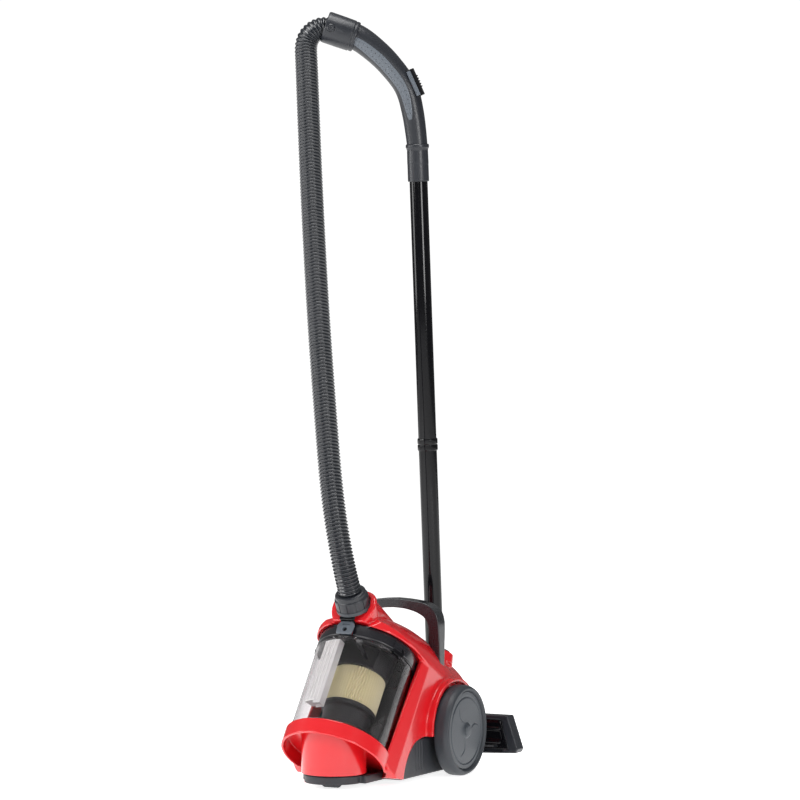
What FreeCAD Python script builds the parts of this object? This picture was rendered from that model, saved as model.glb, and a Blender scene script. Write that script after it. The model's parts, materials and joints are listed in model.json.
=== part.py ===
import FreeCAD, Part
import math
import os

import Sketcher

# Bagless canister vacuum cleaner, parked with its wand upright behind the body.
# Frame, in millimetres: +Z up, -Y the front (dust cup side), +X the right flank.
# The origin is on the floor, midway between the two big wheels.

os.makedirs("parts", exist_ok=True)
doc = FreeCAD.newDocument("canister_vacuum")
sheet = doc.addObject("Spreadsheet::Sheet", "Dimensions")
V = FreeCAD.Vector


class Size:
    """A number together with the spreadsheet expression that gives it."""

    def __init__(self, value, text):
        self.value = value
        self.text = text

    def join(self, other, sign, value):
        text = other.text if isinstance(other, Size) else repr(float(other))
        return Size(value, f"({self.text} {sign} {text})")

    def __add__(self, other):
        return self.join(other, "+", self.value + number(other))

    def __sub__(self, other):
        return self.join(other, "-", self.value - number(other))

    def __mul__(self, other):
        return self.join(other, "*", self.value * number(other))

    def __rsub__(self, other):
        return Size(float(other) - self.value, f"({float(other)!r} - {self.text})")

    def __neg__(self):
        return Size(-self.value, f"(-1 * {self.text})")


def number(size):
    """The plain number of a Size or of a number."""
    return size.value if isinstance(size, Size) else float(size)


DIMENSIONS = {
    "wheel_radius": 78,
    "wheel_width": 28,
    "wheel_inner_x": 104,
    "axle_radius": 5,
    "running_gap": 0.05,
    "cup_lean": 36,
    "cup_radius": 85.5,
    "bin_height": 162,
    "lid_height": 26,
    "bay_radius": 91.5,
    "cover_half_width": 96,
    "cover_wall": 3.5,
    "shoulder_drop": 70,
    "dome_slope": 29,
    "chassis_half_width": 92,
    "ground_gap": 9,
    "chassis_top": 72.5,
    "drum_radius": 55,
    "caster_radius": 17,
    "caster_width": 28,
    "inlet_lean": 28,
    "collar_radius": 34,
    "collar_height": 75,
    "cuff_radius": 28.5,
    "hose_radius": 20,
    "hose_bore": 16,
    "wand_lean": 4.3,
    "wand_radius": 16,
    "wand_wall": 1.6,
    "wand_length": 470,
    "upper_cuff_radius": 28,
    "upper_cuff_length": 58,
    "handle_low_radius": 18,
    "handle_top_radius": 23,
    "head_half_width": 168,
    "motor_radius": 36,
    "fan_radius": 48,
    "reel_radius": 40,
    "button_radius": 16,
    "carry_depth": 27,
}
for row, (alias, value) in enumerate(DIMENSIONS.items(), start=1):
    sheet.set(f"A{row}", alias)
    sheet.set(f"B{row}", str(value))
    sheet.setAlias(f"B{row}", alias)
doc.recompute()
D = {alias: Size(float(value), f"Dimensions.{alias}") for alias, value in DIMENSIONS.items()}

TURN_X = V(1, 0, 0)
TURN_Y = V(0, 1, 0)
TURN_Z = V(0, 0, 1)


def place(x=0.0, y=0.0, z=0.0, axis=TURN_Z, angle=0.0):
    """A placement moved to a point and turned about one axis."""
    return FreeCAD.Placement(V(x, y, z), FreeCAD.Rotation(axis, angle))


WORLD = place()
CUP = place(0, -227, 69, TURN_X, -number(D["cup_lean"]))
INLET_FORWARD = 26
PORT_FORWARD = 50
PORT_RADIUS = 17
PASSAGE_RADIUS = 15
SPIGOT_RADIUS = 20
SPIGOT_FOOT = 48
CUFF_FOOT = 66.5
LID_TOP = number(D["bin_height"]) + number(D["lid_height"])
INLET_FOOT = CUP.multVec(V(0, -INLET_FORWARD, LID_TOP))
INLET = place(0, INLET_FOOT.y, INLET_FOOT.z, TURN_X, number(D["inlet_lean"]))
WAND = place(0, 139, 100, TURN_X, number(D["wand_lean"]))
HANDLE_FOOT = 936
HANDLE_TURN = 208
HANDLE = WAND * place(z=HANDLE_FOOT, angle=HANDLE_TURN)
ALONG_X = place(axis=TURN_Y, angle=90)
ALONG_Y = place(axis=TURN_X, angle=-90)

made = []


def bind(obj, name, size):
    """Set a property, and tie it to the sheet when the size comes from there."""
    setattr(obj, name, number(size))
    if isinstance(size, Size):
        obj.setExpression(name, size.text)


def shape_object(kind, placement, sizes):
    """A Part object with its sizes bound and its placement set."""
    obj = doc.addObject(kind, kind.split("::")[1].lower())
    for name, size in sizes.items():
        bind(obj, name, size)
    obj.Placement = placement
    return obj


def box(x0, x1, y0, y1, z0, z1, placement=WORLD):
    """A box between two corners of a frame."""
    sizes = {"Length": x1 - x0, "Width": y1 - y0, "Height": z1 - z0}
    corner = place(number(x0), number(y0), number(z0))
    return shape_object("Part::Box", placement * corner, sizes)


def cylinder(radius, height, placement=WORLD, z0=0.0):
    """A cylinder along a frame's Z, from z0 up."""
    return shape_object("Part::Cylinder", placement * place(z=number(z0)), {"Radius": radius, "Height": height})


def cone(low, high, height, placement=WORLD, z0=0.0):
    """A cone along a frame's Z, from z0 up."""
    sizes = {"Radius1": low, "Radius2": high, "Height": height}
    return shape_object("Part::Cone", placement * place(z=number(z0)), sizes)


def fuse(*shapes, refine=True):
    """Several shapes joined into one, with their seams cleaned up if wanted."""
    obj = doc.addObject("Part::MultiFuse", "fuse")
    obj.Shapes = list(shapes)
    obj.Refine = refine
    return obj


def common(*shapes):
    """What several shapes share."""
    obj = doc.addObject("Part::MultiCommon", "common")
    obj.Shapes = list(shapes)
    return obj


def cut(base, *tools):
    """A shape with others taken out of it."""
    obj = doc.addObject("Part::Cut", "cut")
    obj.Base = base
    obj.Tool = tools[0] if len(tools) == 1 else fuse(*tools, refine=False)
    return obj


def tube(outer, inner, height, placement=WORLD, z0=0.0):
    """A round tube along a frame's Z."""
    return cut(cylinder(outer, height, placement, z0), cylinder(inner, height + 2, placement, z0 - 1))


def origin_plane(body, role):
    """One of a body's own origin planes."""
    return next(f for f in body.Origin.OriginFeatures if f.Role == role)


def bound_sketch(body, name, role, points):
    """A closed polygon sketch whose corner coordinates are tied to the sheet."""
    sketch = body.newObject("Sketcher::SketchObject", name)
    sketch.AttachmentSupport = [(origin_plane(body, role), "")]
    sketch.MapMode = "FlatFace"
    corners = [V(number(a), number(b), 0) for a, b in points]
    for index, corner in enumerate(corners):
        following = corners[(index + 1) % len(corners)]
        sketch.addGeometry(Part.LineSegment(corner, following), False)
    for index in range(len(corners)):
        sketch.addConstraint(Sketcher.Constraint("Coincident", index, 2, (index + 1) % len(corners), 1))
    for index, pair in enumerate(points):
        for kind, size in zip(("DistanceX", "DistanceY"), pair):
            pin_coordinate(sketch, kind, index, size)
    return sketch


def pin_coordinate(sketch, kind, index, size):
    """Hold one corner coordinate, by expression when it comes from the sheet."""
    value = number(size)
    if abs(value) < 1e-9:
        axis = -2 if kind == "DistanceX" else -1
        sketch.addConstraint(Sketcher.Constraint("PointOnObject", index, 1, axis))
        return
    if value > 0:
        which = sketch.addConstraint(Sketcher.Constraint(kind, -1, 1, index, 1, value))
    else:
        which = sketch.addConstraint(Sketcher.Constraint(kind, index, 1, -1, 1, -value))
    if isinstance(size, Size):
        text = size.text if value > 0 else (-size).text
        sketch.setExpression(f"Constraints[{which}]", text)


def padded(points, length, placement=WORLD, role="XY_Plane", centred=False):
    """A body padded from a polygon."""
    body = doc.addObject("PartDesign::Body", "padded")
    sketch = bound_sketch(body, "outline", role, points)
    pad = body.newObject("PartDesign::Pad", "pad")
    pad.Profile = sketch
    if centred:
        pad.Midplane = True
    bind(pad, "Length", length)
    body.Placement = placement
    return body


def revolved(points, placement=WORLD):
    """A body turned about its own Z from a half section of (radius, height) points."""
    body = doc.addObject("PartDesign::Body", "revolved")
    sketch = bound_sketch(body, "half_section", "XZ_Plane", points)
    turn = body.newObject("PartDesign::Revolution", "turn")
    turn.Profile = sketch
    turn.ReferenceAxis = (sketch, ["V_Axis"])
    turn.Angle = 360
    body.Placement = placement
    return body


def keep(name, obj):
    """Name a finished sub-part and put it on the list to be written."""
    obj.Label = name
    made.append((name, obj))
    return obj


# Body shell ---------------------------------------------------------------
COVER_OUTLINE = [
    (-224, 50), (-198, 15), (-170, 10), (-140, 56), (-100, 74), (98, 74), (103, 140), (95, 180),
    (60, 207), (0, 250), (-60, 284), (-112, 299), (-150, 296), (-186, 268), (-84, 197),
]
COVER_HOLLOW = [
    (-130, 60), (-100, 70), (94.5, 70), (99, 140), (91, 178), (57.5, 203.5), (-2, 245.5),
    (-62, 279.5), (-100, 290), (-100, 60),
]
AXIS_HEIGHT = number(D["wheel_radius"])
PLAN_LENGTH = 700


def section_solid(inset):
    """The arched cross-section of the body, run along the slope of its top."""
    slope = place(0, 0, 250 - inset * 1.15, TURN_X, -number(D["dome_slope"]))
    arch = doc.addObject("Part::Ellipse", "arch")
    bind(arch, "MajorRadius", D["cover_half_width"] - inset)
    bind(arch, "MinorRadius", D["shoulder_drop"])
    upright = slope * place(0, -PLAN_LENGTH / 2, -number(D["shoulder_drop"]), TURN_X, 90)
    arch.Placement = upright
    run = doc.addObject("Part::Extrusion", "run")
    run.Base = arch
    run.DirMode = "Custom"
    run.Dir = slope.Rotation.multVec(V(0, 1, 0))
    run.LengthFwd = PLAN_LENGTH
    run.Solid = True
    half = D["cover_half_width"] - inset
    lower = box(-half, half, -PLAN_LENGTH / 2, PLAN_LENGTH / 2, -400, -number(D["shoulder_drop"]), slope)
    return fuse(run, lower)


def plan_solid(radius, half):
    """The rounded front and straight flanks, run along the cup axis."""
    nose = cylinder(radius, 500, CUP, -150)
    rear = box(-half, half, 0, 600, -400, 600, CUP)
    return fuse(nose, rear)


def cup_bore(low, high, radius):
    """Room for the cup between two levels of its own axis."""
    return cylinder(radius, high - low, CUP, low)


wide = D["cover_half_width"] * 2
outer = common(
    padded(COVER_OUTLINE, wide, role="YZ_Plane", centred=True),
    section_solid(0),
    plan_solid(93, D["cover_half_width"]),
)
hollow = common(
    padded(COVER_HOLLOW, wide, role="YZ_Plane", centred=True),
    section_solid(number(D["cover_wall"])),
)
INLET_TOP = D["collar_height"]
collar = cylinder(D["collar_radius"], INLET_TOP, INLET)
below_lid = cylinder(200, 300, CUP, LID_TOP + 1 - 300)
collar_kept = cut(collar, below_lid)
arch_lips = [
    common(
        tube(89, 83, 20, place(side, 0, AXIS_HEIGHT) * ALONG_X),
        box(-140, 140, -100, 110, 74, 300),
    )
    for side in (90, -110)
]
shell = fuse(outer, collar_kept, *arch_lips)
wheel_rooms = [cylinder(83, 60, place(side, 0, AXIS_HEIGHT) * ALONG_X) for side in (97, -157)]
button_spots = [place(x, 62, 200, TURN_X, -number(D["dome_slope"])) for x in (48, -48)]
button_holes = [cylinder(D["button_radius"] + 0.5, 60, spot, -40) for spot in button_spots]
inlet_rooms = [
    cylinder(30.2, 90, INLET, CUFF_FOOT - 0.5),
    cylinder(SPIGOT_RADIUS + 0.3, 40, INLET, SPIGOT_FOOT - 2),
    cylinder(PASSAGE_RADIUS, 36, INLET, 30),
]
roomy_cover = cut(
    shell,
    hollow,
    cup_bore(-31, LID_TOP + 1, D["bay_radius"] + 0.4),
    box(-88, 88, -260, -91, 0, 500, CUP),
    box(-88, 88, -260, 30, 0, LID_TOP + 1, CUP),
    cylinder(14, 300, place(-150, 0, AXIS_HEIGHT) * ALONG_X),
    box(-92.2, 92.2, -172.2, 120, 0, 72.7),
    box(-50.4, 50.4, 90, 120, 82, 110.4),
    box(-60.2, 60.2, -240, -165, 0, 24.2),
    box(-20.1, 20.1, -40, 20, 25.9, 66.1, WAND),
    cylinder(7.1, 30, place(-70, 85, 100, TURN_X, -90)),
    *inlet_rooms,
    *wheel_rooms,
    *button_holes,
)
port_room = cylinder(PORT_RADIUS, 18, CUP * place(0, -PORT_FORWARD, LID_TOP - 2))
keep("top_cover", cut(roomy_cover, port_room))

drum = cut(
    cylinder(D["drum_radius"], 110, place(0, -240, 24)),
    cylinder(D["drum_radius"] - 3, 120, place(0, -240, 20)),
)
drum_cap_room = cylinder(200, 400, CUP, -4)
hoop_ring = revolved(
    [(0, -4), (88, -4), (88, -27), (91.5, -27), (91.5, -0.6), (0, -0.6)],
    CUP,
)
hoop_rear = fuse(
    box(-200, 200, 34, 200, -60, -4.1, CUP),
    box(-200, 200, -500, 100, -200, 12.3),
)
keep("front_hoop", cut(fuse(hoop_ring, cut(drum, drum_cap_room)), hoop_rear))

cup_bay = cut(
    tube(D["bay_radius"], D["bay_radius"] - 2.4, number(D["bin_height"]) + 22, CUP, 0.4),
    box(-120, 120, -120, 42, -20, 260, CUP),
    box(-28, 28, 42, 120, 62, 100, CUP),
    box(-200, 200, -400, 200, -100, 14),
)
keep("cup_bay", cup_bay)

# Chassis ------------------------------------------------------------------
half = D["chassis_half_width"]
tub_outer = fuse(
    box(-half, half, -172, 98, D["ground_gap"], D["chassis_top"]),
    box(-60, 60, -240, -172, D["ground_gap"], 23),
    cylinder(50, 23 - number(D["ground_gap"]), place(0, -240, number(D["ground_gap"]))),
)
tub_inner = fuse(
    box(-half + 3, half - 3, -169, 95, 12, 90),
    box(-52, 52, -200, -168, 12, 24),
)
tub = cut(
    tub_outer,
    tub_inner,
    cylinder(30, 60, place(0, -240, -5)),
    cup_bore(-4.5, 200, 92.4),
    common(cup_bore(-31, 0, 92.4), box(-120, 120, -200, 37, -40, 1, CUP)),
)
towers = [box(x, x + 8, -24, 24, 12, 100) for x in (83, -91)]
pin_holes = cylinder(D["axle_radius"], 300, place(-150, 0, AXIS_HEIGHT) * ALONG_X)
caster_post = fuse(
    tube(12, 5.05, 12, place(0, -240, 46)),
    box(-54, 54, -245, -235, 46, 58),
)
keep("base_chassis", cut(fuse(tub, *towers), pin_holes))

# Wheels -------------------------------------------------------------------
R_TYRE = D["wheel_radius"]
inner_x = D["wheel_inner_x"]
width = D["wheel_width"]
bore = D["axle_radius"] + D["running_gap"]
for side, angle in (("right", 90), ("left", -90)):
    sign = 1 if side == "right" else -1
    hub = place(0, 0, AXIS_HEIGHT, TURN_Y, angle)
    near = number(inner_x)
    disc = revolved(
        [
            (bore, inner_x), (R_TYRE - 12, inner_x), (R_TYRE - 12, inner_x + width - 4),
            (R_TYRE - 16, inner_x + width - 2), (24, inner_x + width - 4), (20, inner_x + width),
            (bore, inner_x + width),
        ],
        hub,
    )
    groove = tube(R_TYRE - 20, R_TYRE - 22, 4, hub, near + number(width) - 4.2)
    keep(f"wheel_{side}", cut(disc, groove))
    tyre = revolved(
        [
            (R_TYRE - 12, inner_x), (R_TYRE - 3, inner_x), (R_TYRE, inner_x + 4),
            (R_TYRE, inner_x + width - 7), (R_TYRE - 4, inner_x + width - 2),
            (R_TYRE - 9, inner_x + width), (R_TYRE - 12, inner_x + width),
        ],
        hub,
    )
    keep(f"tyre_{side}", tyre)
    pin = revolved(
        [
            (0, 84), (D["axle_radius"], 84), (D["axle_radius"], inner_x + width + 0.4),
            (11, inner_x + width + 0.4), (8, inner_x + width + 3), (0, inner_x + width + 4),
        ],
        hub,
    )
    keep(f"axle_{side}", pin)

caster = place(0, -240, 0)
wheel_axis = place(-number(D["caster_width"]) / 2, -247, number(D["caster_radius"])) * ALONG_X
roller = cut(
    cylinder(D["caster_radius"], D["caster_width"], wheel_axis),
    cylinder(3 + 0.05, D["caster_width"] + 4, wheel_axis, -2),
)
keep("caster_wheel", roller)
fork = fuse(
    box(-18, -14.4, -254, -228, 10, 42),
    box(14.4, 18, -254, -228, 10, 42),
    box(-18, 18, -254, -226, 38, 42),
    cylinder(5, 14, place(0, -240, 42)),
    cylinder(8, 2, place(0, -240, 58.5)),
    cylinder(5, 4, place(0, -240, 55)),
    cylinder(3, 34, place(-17, -247, number(D["caster_radius"])) * ALONG_X),
)
keep("caster_fork", fork)
socket_room = tube(200, number(D["drum_radius"]) - 3, 100, place(0, -240, 10))
keep("caster_socket", cut(caster_post, socket_room, cylinder(5.05, 100, place(0, -240, 10))))

# Dust cup -----------------------------------------------------------------
cup = D["cup_radius"]
rim = D["bin_height"]
bin_wall = revolved(
    [(cup - 2.5, 4), (cup - 4, 0), (cup - 1, 0), (cup, 2), (cup, rim), (cup - 2.5, rim)],
    CUP,
)
keep("clear_bin", bin_wall)
keep("bin_floor", revolved([(0, 0), (cup - 4, 0), (cup - 2.6, 3.8), (cup - 6, 7), (0, 7)], CUP))
lid = revolved(
    [
        (0, rim + 22), (cup - 3, rim + 22), (cup - 3, rim + 0.2), (cup - 14, rim + 0.2),
        (cup - 14, rim - 3), (cup - 2.8, rim - 3), (cup - 2.8, rim + 0.2), (cup + 1, rim + 0.2),
        (cup + 1, rim + 24), (cup - 1, rim + 26), (0, rim + 26),
    ],
    CUP,
)
port = cylinder(PORT_RADIUS, 60, CUP * place(0, -PORT_FORWARD, number(rim)))
latch_window = box(-12.4, 12.4, -100, -78, number(rim) + 3, number(rim) + 19, CUP)
keep("cup_lid", cut(lid, port, latch_window))
latch = fuse(
    box(-12, 12, -88.5, -85.5, number(rim) + 3.4, number(rim) + 18.6, CUP),
    box(-9, 9, -85.5, -80, number(rim) + 6, number(rim) + 16, CUP),
)
latch_hole = cylinder(3, 20, CUP * place(0, -96, number(rim) + 8, TURN_X, -90))
keep("cup_latch", cut(latch, latch_hole))
filter_low = 62
pleats = revolved([(30, filter_low + 4), (46, filter_low + 4), (46, 132), (30, 132)], CUP)
keep("pleated_filter", pleats)
core = revolved([(25, filter_low + 3), (29.8, filter_low + 3), (29.8, 133), (25, 133)], CUP)
caps = fuse(
    core,
    revolved([(0, filter_low), (47, filter_low), (47, filter_low + 3.9), (0, filter_low + 3.9)], CUP),
    revolved([(22, 132.1), (48, 132.1), (48, 138), (52, number(rim) + 21.9), (22, number(rim) + 21.9)], CUP),
)
port_side = box(-60, 60, -100, -30, 134, 200, CUP)
keep("filter_holder", cut(caps, port_side))
skirt = revolved(
    [(0, 26), (38, 26), (44, 20), (46, 20), (40, 29), (40, 55), (47, 61.9), (0, 61.9)],
    CUP,
)
keep("cyclone_skirt", skirt)
duct_arc = common(
    tube(cup - 3, cup - 16, 110, CUP, 48),
    box(-34, -8, -100, -50, 40, 200, CUP),
)
duct_bore = common(
    tube(cup - 5, cup - 14, 112, CUP, 46),
    box(-32, -10, -100, -50, 40, 200, CUP),
)
keep("inlet_duct", cut(duct_arc, duct_bore))

# Hose ends and inlet ------------------------------------------------------
cuff = D["cuff_radius"]
keep("inlet_seal", tube(30.2, cuff + 0.09, 6, INLET, CUFF_FOOT + 1))
lower_cuff = revolved(
    [
        (D["hose_bore"], SPIGOT_FOOT), (SPIGOT_RADIUS, SPIGOT_FOOT), (SPIGOT_RADIUS, CUFF_FOOT),
        (cuff, CUFF_FOOT), (cuff, 84), (cuff - 3, 86), (cuff - 3, 96), (cuff - 4.5, 100),
        (D["hose_bore"], 100),
    ],
    INLET,
)
keep("lower_cuff", lower_cuff)

CUFF_TILT = 21
LEAN_BACK = place(0, 0, 0, TURN_Y, 90 - CUFF_TILT)
TOP_CUFF = HANDLE * place(155, 0, 278) * LEAN_BACK
SEAT = 26
swivel = D["upper_cuff_radius"]
long_cuff = D["upper_cuff_length"]
upper_cuff = revolved(
    [
        (D["handle_top_radius"] + 0.05, -number(long_cuff)), (swivel - 2, -number(long_cuff)),
        (swivel, -number(long_cuff) + 4), (swivel, -3), (swivel - 2, 0), (swivel - 3.5, 0),
        (swivel - 3.5, -SEAT), (D["hose_bore"], -SEAT), (D["hose_bore"], -29),
        (D["handle_top_radius"] + 0.05, -32),
    ],
    TOP_CUFF,
)
button_room = cylinder(7.3, 20, TOP_CUFF * place(0, 18, -11, TURN_X, -90))
keep("upper_cuff", cut(upper_cuff, button_room))
cuff_button = cylinder(7, 5.3, TOP_CUFF * place(0, 24.6, -11, TURN_X, -90))
keep("cuff_button", cuff_button)

# Bent handle --------------------------------------------------------------
GRIP = [(0, 62, 90), (5.7, 121, 79), (17, 167, 68), (44, 207, 45), (72, 236, 38)]
GRIP_STOP = -number(long_cuff) - 0.3


def bent(low, high, start, stop):
    """A tapering tube through circles set across the handle's bend."""
    rings = []
    for index, (x, z, climb) in enumerate(GRIP):
        share = index / len(GRIP)
        ring = doc.addObject("Part::Circle", "ring")
        bind(ring, "Radius", low + (high - low) * share)
        ring.Placement = HANDLE * place(x, 0, z, TURN_Y, 90 - climb)
        rings.append(ring)
    first = doc.addObject("Part::Circle", "ring")
    bind(first, "Radius", low)
    first.Placement = HANDLE * place(0, 0, start)
    last = doc.addObject("Part::Circle", "ring")
    bind(last, "Radius", high)
    last.Placement = TOP_CUFF * place(0, 0, stop)
    loft = doc.addObject("Part::Loft", "loft")
    loft.Sections = [first] + rings + [last]
    loft.Solid = True
    return loft


low_grip = D["handle_low_radius"]
top_grip = D["handle_top_radius"]
grip_outer = bent(low_grip, top_grip, 30, GRIP_STOP)
grip_inner = bent(low_grip - 3, top_grip - 4, 29, GRIP_STOP + 0.5)
spigot = tube(top_grip - 0.1, top_grip - 4.4, 26.8, TOP_CUFF, GRIP_STOP - 1)
sleeve = tube(low_grip + 0.7, D["wand_radius"] + 0.02, 32, HANDLE)
step_ring = tube(low_grip + 1.2, low_grip - 1, 4, HANDLE, 60)
SLIDER = HANDLE * place(17, 0, 167, TURN_Y, 22)
slide_flat = box(-40, -18.9, -7.4, 7.4, -24, 24, SLIDER)
handle = cut(fuse(cut(grip_outer, grip_inner), sleeve, step_ring, spigot), slide_flat)
keep("handle_tube", handle)

slider = fuse(
    box(-23.5, -19.2, -6.8, 6.8, -15, 15, SLIDER),
    box(-28, -23.5, -5.5, 5.5, -9, 7, SLIDER),
)
keep("suction_slider", slider)
for side, low in (("right", 17.6), ("left", -20.6)):
    slab = common(
        bent(low_grip + 1.4, top_grip + 1.2, 60, GRIP_STOP),
        box(20, 110, low, low + 3, 150, 270, HANDLE),
    )
    doc.recompute()
    core = bent(low_grip, top_grip, 30, GRIP_STOP)
    keep(f"grip_{side}", cut(slab, core))

# Wand ---------------------------------------------------------------------
wand = D["wand_radius"]
wand_bore = wand - D["wand_wall"]
length = D["wand_length"]
LOWER_END = 26
keep("lower_wand", tube(wand, wand_bore, HANDLE_FOOT - number(length) + 4 - LOWER_END, WAND, LOWER_END))
keep("upper_wand", tube(wand, wand_bore, number(length) + 25, WAND, HANDLE_FOOT - number(length) + 4.2))
keep("wand_ring", tube(wand + 2, wand + 0.02, 22, WAND, HANDLE_FOOT - number(length) - 7))
HOOK = fuse(
    tube(wand + 3, wand + 0.02, 34, WAND, 30),
    box(-4, 4, -28, -18, 32, 62, WAND),
    box(-12, 12, -31, -27, 32, 62, WAND),
)
keep("park_hook", cut(HOOK, cylinder(wand + 0.02, 60, WAND, 20)))
bracket = cut(
    box(-20, 20, -36, -21.6, 26, 66, WAND),
    box(-12.8, 12.8, -31.8, -26.2, 30, 80, WAND),
    box(-4.8, 4.8, -28, -15, 30, 80, WAND),
)
keep("park_bracket", bracket)

# Floor head, hanging by the wand with its sole to the front ----------------
HEAD = place(0, 140.2, 84)
half_head = D["head_half_width"]
socket = wand + 0.02
neck_tube = revolved(
    [
        (0, -14), (12, -14), (12, 6), (19, 20), (19, 30), (socket, 30), (socket, 25.9), (9, 22),
        (9, -2), (0, -2),
    ],
    WAND,
)
neck = fuse(neck_tube, cylinder(10.5, 24.8, HEAD * place(-12.4) * ALONG_X))
pin_room = cylinder(4 + 0.05, 200, HEAD * place(-100) * ALONG_X)
air_way = box(-6, 6, -9.4, -5.2, -27, 0, WAND)
keep("neck", cut(neck, pin_room, air_way))
plan = [
    (-half_head, -50), (-half_head + 4, -57), (0, -64), (half_head - 4, -57), (half_head, -50),
    (half_head - 20, 8), (-half_head + 20, 8),
]
housing = padded(plan, 26, HEAD * place(0, -5, 0), role="XZ_Plane", centred=True)
hump = fuse(
    cylinder(17, 60, HEAD * place(-30) * ALONG_X),
    box(-30, 30, 2, 16, -40, 0, HEAD),
)
neck_room = box(-12.8, 12.8, -14, 60, -12.8, 60, HEAD)
sole_room = box(-half_head + 30, half_head - 30, -40, -13, -56, 0, HEAD)
round_room = cylinder(12.8, 25.6, HEAD * place(-12.8) * ALONG_X)
pedal_room = box(-29, 29, 6, 40, -66, -40, HEAD)
ears = fuse(box(29.2, 33, 4, 16, -57, -46, HEAD), box(-33, -29.2, 4, 16, -57, -46, HEAD))
channel = fuse(box(-98, 98, -14, -4, -32, -22, HEAD), box(-8, 8, -8, 6, -23, 0, HEAD))
head_pin_hole = cylinder(4, 200, HEAD * place(-100) * ALONG_X)
head_rooms = fuse(neck_room, sole_room, round_room, pedal_room, channel)
keep("head_housing", cut(fuse(housing, hump, ears), head_rooms, head_pin_hole))
keep("head_pin", cylinder(4, 58, HEAD * place(-29) * ALONG_X))
sole = cut(
    box(-half_head + 30.2, half_head - 30.2, -16, -13.1, -55.8, -0.2, HEAD),
    box(-100, 100, -30, 0, -32, -22, HEAD),
    box(-120, 120, -30, 0, -49, -44.6, HEAD),
)
keep("sole_plate", sole)
keep("brush_strip", box(-119.6, 119.6, -15.5, -13.2, -48.8, -44.8, HEAD))
pedal_axis = HEAD * place(-28, 11, -52)
pedal = fuse(
    cylinder(4, 56, pedal_axis * ALONG_X),
    box(0, 56, 0, 4, -9, 10, pedal_axis),
)
keep("head_pedal", pedal)

# Carry handle and buttons ---------------------------------------------------
depth = D["carry_depth"]
arch_outer = [(-87, 170), (-87, 262), (-62, 296), (-25, 304), (25, 304), (62, 296), (87, 262), (87, 170)]
arch_inner = [(-68, 160), (-68, 254), (-52, 281), (-22, 288), (22, 288), (52, 281), (68, 254), (68, 160)]
arch = cut(
    padded(arch_outer, depth, place(0, -14, 0), role="XZ_Plane", centred=True),
    padded(arch_inner, depth + 4, place(0, -14, 0), role="XZ_Plane", centred=True),
)
keep("carry_handle", cut(arch, outer))
for name, spot in zip(("power_button", "rewind_button"), button_spots):
    press = revolved(
        [(0, -16), (10, -16), (10, -6), (D["button_radius"], -6), (D["button_radius"], 6), (13, 9), (0, 9)],
        spot,
    )
    keep(name, press)

# Inside -------------------------------------------------------------------
MOTOR = place(0, -62, 62, TURN_X, -90)
fan = D["fan_radius"]
motor = D["motor_radius"]
fan_case = revolved(
    [
        (14, 0), (fan, 0), (fan, 32), (14, 32), (14, 30), (fan - 2.5, 30), (fan - 2.5, 2.5), (14, 2.5),
    ],
    MOTOR,
)
keep("fan_case", fan_case)
motor_can = revolved(
    [
        (9, 32.1), (motor, 32.1), (motor, 84), (9, 84), (9, 81), (motor - 3, 81), (motor - 3, 35), (9, 35),
    ],
    MOTOR,
)
keep("motor_can", motor_can)
rotor = revolved(
    [
        (0, -2), (4, -2), (4, 5), (40, 5), (40, 7), (30, 24), (4, 24), (4, 44), (22, 44), (22, 72),
        (4, 72), (4, 88), (0, 88),
    ],
    MOTOR,
)
keep("rotor", rotor)
cradle = cut(
    box(-46, 46, -14, -2, 12, 52),
    cylinder(motor, 200, place(0, -60, 62, TURN_X, -90)),
)
keep("motor_cradle", cradle)
keep("pre_filter", cylinder(24, 14, place(0, -80, 62, TURN_X, -90)))
REEL = place(0, 56, 142)
reel = D["reel_radius"]
reel_plates = [box(x, x + 3, -12, 12, -130, 14, REEL) for x in (24, -27)]
reel_frame = fuse(*reel_plates, cylinder(5, 54, REEL * place(-27) * ALONG_X))
keep("reel_frame", reel_frame)
drum_profile = [
    (5.05, -22), (reel, -22), (reel, -19.5), (20, -19.5), (20, 19.5), (reel, 19.5), (reel, 22), (5.05, 22),
]
keep("cord_drum", revolved(drum_profile, REEL * ALONG_X))
grille = box(-50, 50, 97, 101, 82.4, 110)
slots = [box(-44, 44, 90, 110, z, z + 3) for z in range(86, 107, 5)]
keep("rear_grille", cut(grille, *slots))
keep("exhaust_filter", box(-48, 48, 86, 95, 84, 108))
keep("cord_outlet", tube(7, 3.6, 9, place(-70, 95, 100, TURN_X, -90)))

# Hose -----------------------------------------------------------------------
HOSE_START = INLET.multVec(V(0, 0, 100))
HOSE_END = TOP_CUFF.multVec(V(0, 0, -SEAT))
out = INLET.Rotation.multVec(V(0, 0, 1))
back = TOP_CUFF.Rotation.multVec(V(0, 0, 1))


def in_bend(reach, rise):
    """A point in the handle's plane, measured from the mouth of the upper cuff."""
    return HANDLE.multVec(V(155 + reach, 0, 278 + rise))


ROUTE = [
    HOSE_START,
    HOSE_START + out * 45,
    V(-22, -206, 478),
    V(-50, -181, 630),
    V(-85, -144, 805),
    V(-124, -96, 1010),
    V(-150, -62, 1162),
    V(-162, -46, 1236),
    in_bend(35.6, -26.5),
    in_bend(21.2, -7.3),
    HOSE_END + back * 24,
    HOSE_END,
]
doc.recompute()


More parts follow.
